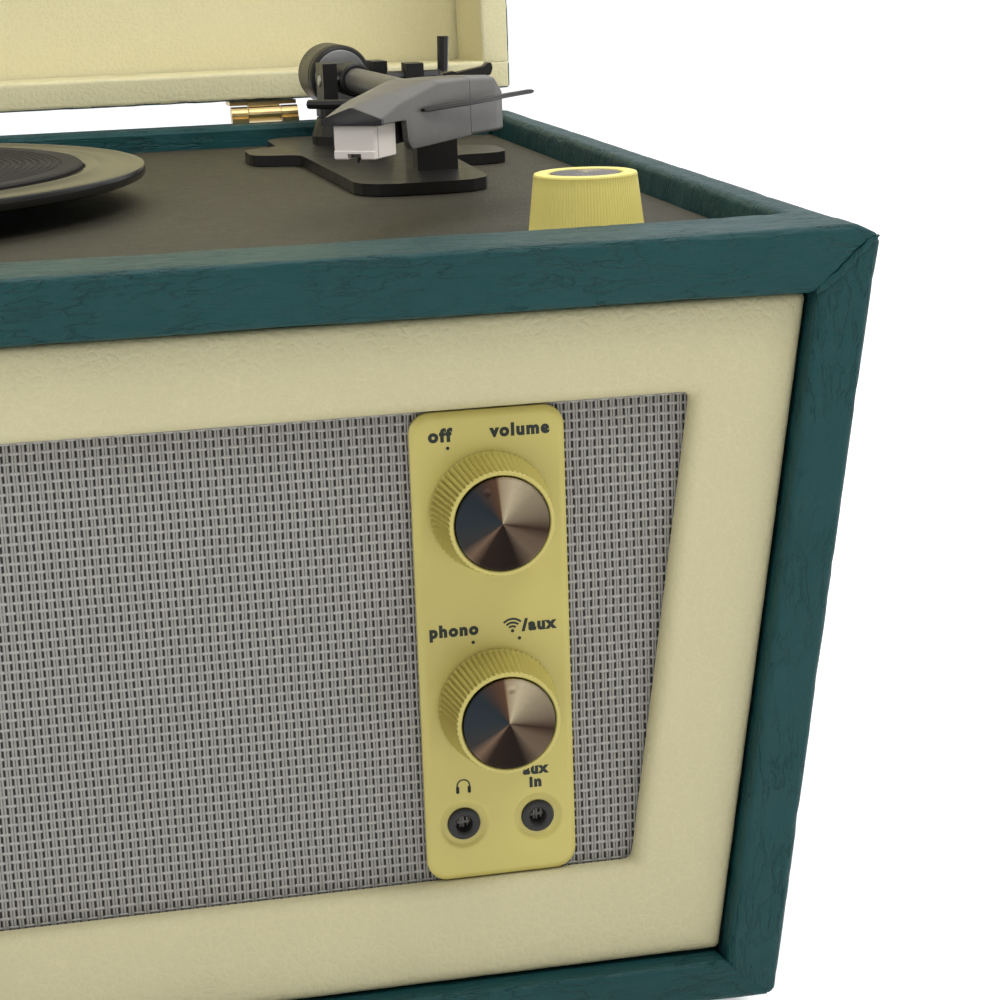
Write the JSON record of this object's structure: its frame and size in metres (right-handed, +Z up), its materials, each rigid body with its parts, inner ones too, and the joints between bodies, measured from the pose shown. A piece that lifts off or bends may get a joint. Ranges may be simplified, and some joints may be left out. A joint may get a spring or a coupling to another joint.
{
  "type": "suitcase record player",
  "caption": "Portable record player in a leatherette suitcase with a hinged lid, belt-driven platter, tonearm with cueing lever, and front panel with knobs, jacks and a woven speaker grille.",
  "frame": {"origin": "on the floor, under the middle of the whole object's box with the lid open", "axes": "+Z up; +X to the right as seen from the front; the front, with the knobs, faces -Y"},
  "size_m": [0.4396, 0.4585, 0.604],
  "materials": {
    "circuit_board": "green circuit board with its components potted as one block",
    "black_plastic": "black moulded plastic, satin",
    "grey_plastic": "dark grey satin paint",
    "teal_leatherette": "dark teal leatherette over fibreboard, creased, satin",
    "cream_plastic": "warm cream moulded plastic, soft gloss",
    "steel": "turned steel, satin",
    "deck_black": "dark olive black textured top, matt",
    "rubber": "black rubber, matt",
    "grille_cloth": "grey and black basket weave speaker cloth",
    "brass": "plated sheet brass, satin",
    "smoked_metal": "smoked bronze tinted cap, brushed in circles",
    "fibreboard": "raw fibreboard",
    "speaker_paper": "black paper cone in a steel basket",
    "white_plastic": "off-white moulded plastic",
    "cream_leatherette": "cream pebble grain leatherette over padding"
  },
  "bodies": {
    "case": {"amplifier_board": "circuit_board", "arm_base": "black_plastic", "aux_jack": "black_plastic", "back_panel": "teal_leatherette", "bottom_board": "teal_leatherette", "control_plate": "cream_plastic", "deck_plate": "deck_black", "drive_belt": "rubber", "foot_back_left": "rubber", "foot_back_right": "rubber", "foot_front_left": "rubber", "foot_front_right": "rubber", "front_rail": "teal_leatherette", "grille_cloth": "grille_cloth", "hasp_keeper": "brass", "headphone_jack": "black_plastic", "hinge_left_case_leaf": "brass", "hinge_right_case_leaf": "brass", "left_side_board": "teal_leatherette", "motor": "steel", "platter_spindle": "steel", "power_inlet": "black_plastic", "rca_sockets": "black_plastic", "right_side_board": "teal_leatherette", "selector_switch": "steel", "socket_plate": "black_plastic", "speaker_baffle": "fibreboard", "speaker_left": "speaker_paper", "speaker_right": "speaker_paper", "speed_switch": "steel", "trim_frame": "cream_leatherette", "volume_potentiometer": "steel"},
    "platter": {"platter": "black_plastic", "platter_mat": "rubber"},
    "motor_rotor": {"motor_pulley": "brass"},
    "volume_knob": {"volume_knob": "cream_plastic", "volume_knob_cap": "smoked_metal"},
    "selector_knob": {"selector_knob": "cream_plastic", "selector_knob_cap": "smoked_metal"},
    "speed_knob": {"speed_knob": "cream_plastic", "speed_knob_cap": "smoked_metal"},
    "arm_swing": {"arm_yoke": "black_plastic"},
    "tonearm": {"arm_tube": "grey_plastic", "headshell": "grey_plastic", "cartridge": "black_plastic", "stylus_holder": "white_plastic", "counterweight": "steel", "finger_lift": "black_plastic"},
    "cue_lever": {"cue_lever": "black_plastic"},
    "cue_lift": {"cue_lift_bar": "black_plastic"},
    "arm_clip": {"arm_clip": "black_plastic"},
    "lid": {"lid_back_wall": "teal_leatherette", "lid_front_wall": "teal_leatherette", "lid_left_wall": "teal_leatherette", "lid_right_wall": "teal_leatherette", "lid_panel": "teal_leatherette", "hinge_left_lid_leaf": "brass", "hinge_right_lid_leaf": "brass", "hasp_base": "brass"},
    "hasp": {"lid_hasp": "brass"}
  },
  "joints": [
    {"name": "lid_hinge", "type": "hinge", "parent": "case", "child": "lid", "pos_m": [0, 0.1617, 0.1991], "axis": [1, 0, 0], "range_deg": [0, 92]},
    {"name": "hasp_hinge", "type": "hinge", "parent": "lid", "child": "hasp", "pos_m": [0, 0.17947, 0.58471], "axis": [1, 0, 0], "range_deg": [0, 75], "stiffness_Nm_per_rad": 0.002, "springref_deg": -28.65},
    {"name": "platter_spin", "type": "hinge", "parent": "case", "child": "platter", "pos_m": [-0.0436, -0.0133, 0.2], "axis": [0, 0, -1], "continuous": true},
    {"name": "motor_spin", "type": "hinge", "parent": "case", "child": "motor_rotor", "pos_m": [-0.11101, 0.04327, 0.19355], "axis": [0, 0, -1], "continuous": true},
    {"name": "volume_turn", "type": "hinge", "parent": "case", "child": "volume_knob", "pos_m": [0.12708, -0.2153, 0.1349], "axis": [0, 1, 0], "range_deg": [0, 300]},
    {"name": "selector_turn", "type": "hinge", "parent": "case", "child": "selector_knob", "pos_m": [0.12708, -0.2153, 0.0874], "axis": [0, 1, 0], "range_deg": [-30, 0]},
    {"name": "speed_turn", "type": "hinge", "parent": "case", "child": "speed_knob", "pos_m": [0.1675, -0.1519, 0.1889], "axis": [0, 0, 1], "range_deg": [-35, 35]},
    {"name": "arm_swing", "type": "hinge", "parent": "case", "child": "arm_swing", "pos_m": [0.1462, 0.0967, 0.2145], "axis": [0, 0, -1], "range_deg": [0, 38]},
    {"name": "arm_lift", "type": "hinge", "parent": "arm_swing", "child": "tonearm", "pos_m": [0.1462, 0.0967, 0.2145], "axis": [-0.9977, -0.0683, 0], "range_deg": [-1.1, 5]},
    {"name": "cue_lever_turn", "type": "hinge", "parent": "case", "child": "cue_lever", "pos_m": [0.165, 0.0747, 0.216], "axis": [1, 0, 0], "range_deg": [0, 60]},
    {"name": "cue_lift_slide", "type": "slide", "parent": "case", "child": "cue_lift", "axis": [0, 0, 1], "range_m": [-0.004, 0]},
    {"name": "arm_clip_turn", "type": "hinge", "parent": "case", "child": "arm_clip", "pos_m": [0.16037, -0.0083, 0.2202], "axis": [0, -1, 0], "range_deg": [0, 170]}
  ],
  "couplings": [
    {"joint": "motor_spin", "follows": "platter_spin", "ratio": 11.4},
    {"joint": "cue_lever_turn", "follows": "cue_lift_slide", "rad_per_m": -261.79}
  ]
}
